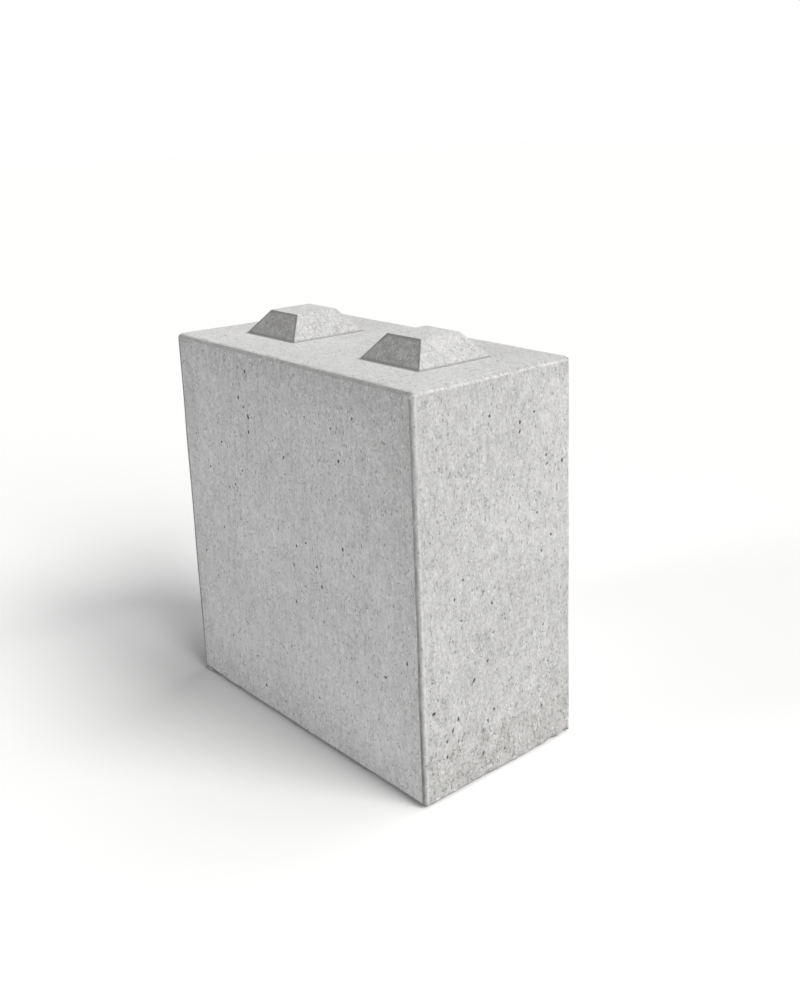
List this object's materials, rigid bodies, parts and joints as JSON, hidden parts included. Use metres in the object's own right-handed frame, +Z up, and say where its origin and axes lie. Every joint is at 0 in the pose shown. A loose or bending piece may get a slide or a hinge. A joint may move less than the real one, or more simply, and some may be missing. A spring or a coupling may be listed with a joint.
{
  "type": "interlocking concrete block",
  "caption": "Rectangular cast concrete wall block with chamfered arrises, tapered square studs on top and matching pockets underneath for dry stacking.",
  "frame": {"origin": "centre of the base, on the floor", "axes": "+X along the long face and the row of studs, +Y across the thickness, +Z up through the studs"},
  "size_m": [0.8, 0.4, 0.85],
  "materials": {
    "concrete": "matt grey cast concrete with small air holes"
  },
  "bodies": {
    "root": {"concrete_block": "concrete"}
  },
  "joints": []
}
